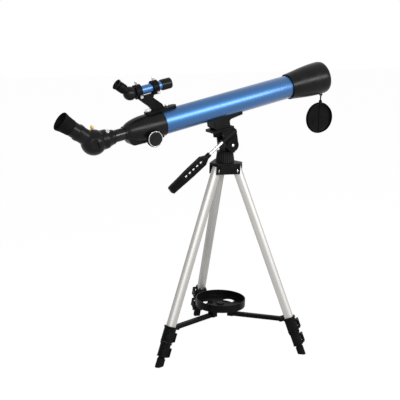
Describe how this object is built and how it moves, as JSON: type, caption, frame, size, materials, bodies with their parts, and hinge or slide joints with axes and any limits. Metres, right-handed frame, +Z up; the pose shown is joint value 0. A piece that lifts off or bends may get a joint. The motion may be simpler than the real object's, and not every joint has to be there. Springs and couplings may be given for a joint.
{
  "type": "telescope on tripod",
  "caption": "Small refracting telescope with flared hood, erecting diagonal and finder on a light folding tripod with pan and tilt head, clamp legs and an accessory tray.",
  "frame": {"origin": "on the floor, on the tripod's vertical axis", "axes": "+Z up; +X under the front of the tube; +Y to the left seen from behind the eyepiece"},
  "size_m": [0.7144, 0.352, 0.6727],
  "materials": {
    "blue_lacquer": "metallic blue lacquer, semi-gloss",
    "black_moulding": "fine-grained black nylon moulding",
    "satin_moulding": "smooth satin black ABS moulding",
    "knob_plastic": "dark grey knurled ABS",
    "bright_metal": "plated steel",
    "brass_screw": "turned brass",
    "leg_aluminium": "satin anodised",
    "eyecup_rubber": "soft black rubber",
    "coated_glass": "polished, coated"
  },
  "bodies": {
    "tripod": {"leg_spider": "black_moulding", "leg_pins": "bright_metal"},
    "pan_head": {"pan_head": "black_moulding"},
    "scope": {"tilt_platform": "black_moulding", "tilt_bolt": "black_moulding", "saddle": "black_moulding", "main_tube": "blue_lacquer", "lens_hood": "satin_moulding", "objective_cell": "black_moulding", "objective_lenses": "coated_glass", "focuser_housing": "satin_moulding", "pinion_cover": "bright_metal", "finder_bracket": "black_moulding", "finder_tube": "blue_lacquer", "finder_bell": "satin_moulding", "finder_lens": "coated_glass", "finder_diagonal": "satin_moulding", "finder_screws": "bright_metal"},
    "handle": {"handle_rod": "bright_metal", "handle_grip": "black_moulding"},
    "platform_screw": {"platform_screw": "black_moulding"},
    "draw_tube": {"draw_tube": "bright_metal"},
    "draw_tube_screw": {"draw_tube_screw": "bright_metal"},
    "focus_shaft": {"focus_pinion": "bright_metal", "focus_knobs": "knob_plastic"},
    "diagonal": {"diagonal_body": "satin_moulding", "diagonal_prism": "coated_glass"},
    "diagonal_screw": {"diagonal_screw": "brass_screw"},
    "eyepiece": {"eyepiece_body": "satin_moulding", "eyecup": "eyecup_rubber", "eyepiece_lenses": "coated_glass"},
    "finder_eyepiece": {"finder_eyepiece": "satin_moulding"},
    "cap_strap": {"cap_strap": "eyecup_rubber"},
    "lens_cap": {"lens_cap": "satin_moulding"},
    "spreader": {"spreader_hub": "black_moulding", "tray": "black_moulding"},
    "leg_1": {"leg_1_upper": "leg_aluminium", "leg_1_clamp": "black_moulding"},
    "leg_1_lever": {"leg_1_lever": "black_moulding"},
    "leg_1_middle": {"leg_1_middle": "leg_aluminium", "leg_1_middle_clamp": "black_moulding"},
    "leg_1_middle_lever": {"leg_1_middle_lever": "black_moulding"},
    "leg_1_lower": {"leg_1_lower": "black_moulding"},
    "brace_1": {"brace_1": "black_moulding"},
    "leg_2": {"leg_2_upper": "leg_aluminium", "leg_2_clamp": "black_moulding"},
    "leg_2_lever": {"leg_2_lever": "black_moulding"},
    "leg_2_middle": {"leg_2_middle": "leg_aluminium", "leg_2_middle_clamp": "black_moulding"},
    "leg_2_middle_lever": {"leg_2_middle_lever": "black_moulding"},
    "leg_2_lower": {"leg_2_lower": "black_moulding"},
    "brace_2": {"brace_2": "black_moulding"},
    "leg_3": {"leg_3_upper": "leg_aluminium", "leg_3_clamp": "black_moulding"},
    "leg_3_lever": {"leg_3_lever": "black_moulding"},
    "leg_3_middle": {"leg_3_middle": "leg_aluminium", "leg_3_middle_clamp": "black_moulding"},
    "leg_3_middle_lever": {"leg_3_middle_lever": "black_moulding"},
    "leg_3_lower": {"leg_3_lower": "black_moulding"},
    "brace_3": {"brace_3": "black_moulding"}
  },
  "joints": [
    {"name": "pan", "type": "hinge", "parent": "tripod", "child": "pan_head", "pos_m": [0, 0, 0.47082], "axis": [0, 0, 1], "continuous": true},
    {"name": "tilt", "type": "hinge", "parent": "pan_head", "child": "scope", "pos_m": [0.005, 0, 0.49042], "axis": [0, -1, 0], "range_deg": [-42, 15]},
    {"name": "handle_twist", "type": "hinge", "parent": "scope", "child": "handle", "pos_m": [-0.00791, -0.0177, 0.50686], "axis": [-0.7864, 0, -0.6177], "continuous": true},
    {"name": "platform_screw_turn", "type": "hinge", "parent": "scope", "child": "platform_screw", "pos_m": [-0.02517, 0, 0.5211], "axis": [-0.2047, 0, 0.9788], "continuous": true},
    {"name": "focus_slide", "type": "slide", "parent": "scope", "child": "draw_tube", "axis": [-0.9788, 0, -0.2047], "range_m": [-0.02, 0.05]},
    {"name": "focus_turn", "type": "hinge", "parent": "scope", "child": "focus_shaft", "pos_m": [-0.19895, 0, 0.51919], "axis": [0, -1, 0], "range_deg": [-260, 645]},
    {"name": "draw_screw_turn", "type": "hinge", "parent": "draw_tube", "child": "draw_tube_screw", "pos_m": [-0.29757, 0, 0.51931], "axis": [-0.1568, -0.6428, 0.7498], "continuous": true},
    {"name": "diagonal_turn", "type": "hinge", "parent": "draw_tube", "child": "diagonal", "pos_m": [-0.32644, 0, 0.51327], "axis": [0.9788, 0, 0.2047], "continuous": true},
    {"name": "diagonal_screw_turn", "type": "hinge", "parent": "diagonal", "child": "diagonal_screw", "pos_m": [-0.34402, 0, 0.52477], "axis": [0.5474, 0, 0.8369], "continuous": true},
    {"name": "eyepiece_slide", "type": "slide", "parent": "diagonal", "child": "eyepiece", "axis": [-0.8369, 0, 0.5474], "range_m": [0, 0.025]},
    {"name": "finder_focus", "type": "hinge", "parent": "scope", "child": "finder_eyepiece", "pos_m": [-0.24285, 0, 0.61432], "axis": [-0.8369, 0, 0.5474], "range_deg": [-90, 90]},
    {"name": "strap_swing", "type": "hinge", "parent": "scope", "child": "cap_strap", "pos_m": [0.26348, 0, 0.59422], "axis": [0, -1, 0], "range_deg": [-25, 60]},
    {"name": "cap_swing", "type": "hinge", "parent": "cap_strap", "child": "lens_cap", "pos_m": [0.26348, 0, 0.57852], "axis": [0, -1, 0], "range_deg": [-20, 20]},
    {"name": "leg_1_fold", "type": "hinge", "parent": "tripod", "child": "leg_1", "pos_m": [-0.02949, -0.0089, 0.43182], "axis": [0.289, -0.9573, 0], "range_deg": [0, 10]},
    {"name": "leg_1_lever_open", "type": "hinge", "parent": "leg_1", "child": "leg_1_lever", "pos_m": [-0.17532, -0.06756, 0.07275], "axis": [-0.3527, -0.1065, -0.9296], "range_deg": [0, 100]},
    {"name": "leg_1_middle_slide", "type": "slide", "parent": "leg_1", "child": "leg_1_middle", "axis": [-0.3527, -0.1065, -0.9296], "range_m": [0, 0.28]},
    {"name": "leg_1_middle_lever_open", "type": "hinge", "parent": "leg_1_middle", "child": "leg_1_middle_lever", "pos_m": [-0.18712, -0.06955, 0.03873], "axis": [-0.3527, -0.1065, -0.9296], "range_deg": [0, 100]},
    {"name": "leg_1_lower_slide", "type": "slide", "parent": "leg_1_middle", "child": "leg_1_lower", "axis": [-0.3527, -0.1065, -0.9296], "range_m": [0, 0.25]},
    {"name": "brace_1_swing", "type": "hinge", "parent": "leg_1", "child": "brace_1", "pos_m": [-0.14172, -0.04279, 0.08147], "axis": [0.289, -0.9573, 0], "range_deg": [0, 51.16]},
    {"name": "leg_2_fold", "type": "hinge", "parent": "tripod", "child": "leg_2", "pos_m": [0.02245, -0.02108, 0.43182], "axis": [0.6845, 0.729, 0], "range_deg": [0, 10]},
    {"name": "leg_2_lever_open", "type": "hinge", "parent": "leg_2", "child": "leg_2_lever", "pos_m": [0.14617, -0.11806, 0.07275], "axis": [0.2686, -0.2522, -0.9296], "range_deg": [0, 100]},
    {"name": "leg_2_middle_slide", "type": "slide", "parent": "leg_2", "child": "leg_2_middle", "axis": [0.2686, -0.2522, -0.9296], "range_m": [0, 0.28]},
    {"name": "leg_2_middle_lever_open", "type": "hinge", "parent": "leg_2_middle", "child": "leg_2_middle_lever", "pos_m": [0.15379, -0.12727, 0.03873], "axis": [0.2686, -0.2522, -0.9296], "range_deg": [0, 100]},
    {"name": "leg_2_lower_slide", "type": "slide", "parent": "leg_2_middle", "child": "leg_2_lower", "axis": [0.2686, -0.2522, -0.9296], "range_m": [0, 0.25]},
    {"name": "brace_2_swing", "type": "hinge", "parent": "leg_2", "child": "brace_2", "pos_m": [0.10791, -0.10134, 0.08147], "axis": [0.6845, 0.729, 0], "range_deg": [0, 51.16]},
    {"name": "leg_3_fold", "type": "hinge", "parent": "tripod", "child": "leg_3", "pos_m": [0.00703, 0.02999, 0.43182], "axis": [-0.9736, 0.2284, 0], "range_deg": [0, 10]},
    {"name": "leg_3_lever_open", "type": "hinge", "parent": "leg_3", "child": "leg_3_lever", "pos_m": [0.02916, 0.18561, 0.07275], "axis": [0.0841, 0.3587, -0.9296], "range_deg": [0, 100]},
    {"name": "leg_3_middle_slide", "type": "slide", "parent": "leg_3", "child": "leg_3_middle", "axis": [0.0841, 0.3587, -0.9296], "range_m": [0, 0.28]},
    {"name": "leg_3_middle_lever_open", "type": "hinge", "parent": "leg_3_middle", "child": "leg_3_middle_lever", "pos_m": [0.03333, 0.19683, 0.03873], "axis": [0.0841, 0.3587, -0.9296], "range_deg": [0, 100]},
    {"name": "leg_3_lower_slide", "type": "slide", "parent": "leg_3_middle", "child": "leg_3_lower", "axis": [0.0841, 0.3587, -0.9296], "range_m": [0, 0.25]},
    {"name": "brace_3_swing", "type": "hinge", "parent": "leg_3", "child": "brace_3", "pos_m": [0.0338, 0.14412, 0.08147], "axis": [-0.9736, 0.2284, 0], "range_deg": [0, 51.16]},
    {"name": "spreader_lift", "type": "slide", "parent": "tripod", "child": "spreader", "axis": [0, 0, 1], "range_m": [0, 0.0919]}
  ],
  "couplings": [
    {"joint": "focus_turn", "follows": "focus_slide", "rad_per_m": 222.22},
    {"joint": "brace_1_swing", "follows": "leg_1_fold", "ratio": 5.0865},
    {"joint": "leg_2_fold", "follows": "leg_1_fold", "ratio": 1},
    {"joint": "brace_2_swing", "follows": "leg_1_fold", "ratio": 5.0865},
    {"joint": "leg_3_fold", "follows": "leg_1_fold", "ratio": 1},
    {"joint": "brace_3_swing", "follows": "leg_1_fold", "ratio": 5.0865},
    {"joint": "spreader_lift", "follows": "leg_1_fold", "m_per_rad": 0.5246}
  ]
}
